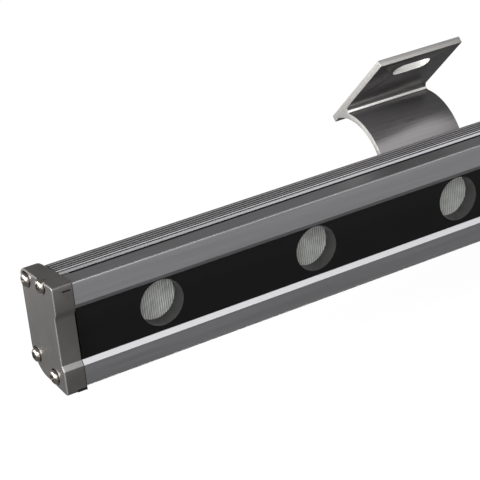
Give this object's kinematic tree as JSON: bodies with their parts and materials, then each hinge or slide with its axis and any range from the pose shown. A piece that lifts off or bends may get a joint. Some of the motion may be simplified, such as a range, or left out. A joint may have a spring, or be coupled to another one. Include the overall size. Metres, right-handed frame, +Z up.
{
  "type": "wall washer light",
  "caption": "Long linear outdoor wall washer light: grey finned aluminium body, black-printed glass over round ribbed lenses, sliding and tilting wall brackets, and a cable gland at one end.",
  "frame": {"origin": "middle of the housing's flat underside, half way along the lamp and half way through its depth", "axes": "+X runs along the lamp from the blank end cap to the gland, the light leaves towards -Y, and +Z is up"},
  "size_m": [1.0192, 0.0762, 0.0938],
  "materials": {
    "anodised_aluminium": "satin grey anodised extrusion",
    "cap_aluminium": "matt grey die-cast end cap",
    "bracket_aluminium": "satin grey anodised extrusion",
    "black_rubber": "matt",
    "stainless_steel": "bright stainless",
    "clear_glass": "clear toughened, polished",
    "black_print": "black ceramic print on the back of the glass",
    "board_white": "white solder mask",
    "thermal_pad": "matt grey silicone",
    "led_emitter": "yellow phosphor under a clear dome",
    "component_black": "matt moulded package",
    "connector_white": "white nylon",
    "terminal_green": "green moulded block",
    "nickel_plate": "satin nickel plate on brass",
    "lens_acrylic": "clear acrylic with a ribbed face",
    "holder_dark": "matt dark grey moulded holder"
  },
  "bodies": {
    "lamp": {"housing": "anodised_aluminium", "left_end_cap": "cap_aluminium", "right_end_cap": "cap_aluminium", "left_cap_gasket": "black_rubber", "right_cap_gasket": "black_rubber", "left_cap_screws": "stainless_steel", "right_cap_screws": "stainless_steel", "front_glass": "clear_glass", "window_print": "black_print", "glass_seal": "black_rubber", "lens_01": "lens_acrylic", "lens_02": "lens_acrylic", "lens_03": "lens_acrylic", "lens_04": "lens_acrylic", "lens_05": "lens_acrylic", "lens_06": "lens_acrylic", "lens_07": "lens_acrylic", "lens_08": "lens_acrylic", "lens_09": "lens_acrylic", "lens_10": "lens_acrylic", "lens_11": "lens_acrylic", "lens_12": "lens_acrylic", "lens_holder_01": "holder_dark", "lens_holder_02": "holder_dark", "lens_holder_03": "holder_dark", "lens_holder_04": "holder_dark", "lens_holder_05": "holder_dark", "lens_holder_06": "holder_dark", "lens_holder_07": "holder_dark", "lens_holder_08": "holder_dark", "lens_holder_09": "holder_dark", "lens_holder_10": "holder_dark", "lens_holder_11": "holder_dark", "lens_holder_12": "holder_dark", "left_led_board": "board_white", "right_led_board": "board_white", "left_thermal_pad": "thermal_pad", "right_thermal_pad": "thermal_pad", "left_led_emitters": "led_emitter", "right_led_emitters": "led_emitter", "left_drive_parts": "component_black", "right_drive_parts": "component_black", "board_screws": "stainless_steel", "board_link": "connector_white", "input_terminal": "terminal_green", "gland_body": "nickel_plate", "gland_ring": "black_rubber", "gland_locknut": "nickel_plate", "gland_insert": "black_rubber", "gland_dome": "nickel_plate"},
    "left_carrier": {"left_hinge_shoe": "bracket_aluminium", "left_slide_lock_screws": "stainless_steel", "left_tilt_lock_screw": "stainless_steel"},
    "right_carrier": {"right_hinge_shoe": "bracket_aluminium", "right_slide_lock_screws": "stainless_steel", "right_tilt_lock_screw": "stainless_steel"},
    "left_arm": {"left_bracket": "bracket_aluminium"},
    "right_arm": {"right_bracket": "bracket_aluminium"}
  },
  "joints": [
    {"name": "left_slide", "type": "slide", "parent": "lamp", "child": "left_carrier", "axis": [1, 0, 0], "range_m": [-0.18, 0.24]},
    {"name": "left_tilt", "type": "hinge", "parent": "left_carrier", "child": "left_arm", "pos_m": [-0.281, 0.02158, 0.0174], "axis": [-1, 0, 0], "range_deg": [-5, 95]},
    {"name": "right_slide", "type": "slide", "parent": "lamp", "child": "right_carrier", "axis": [1, 0, 0], "range_m": [-0.24, 0.18]},
    {"name": "right_tilt", "type": "hinge", "parent": "right_carrier", "child": "right_arm", "pos_m": [0.281, 0.02158, 0.0174], "axis": [-1, 0, 0], "range_deg": [-5, 95]}
  ]
}
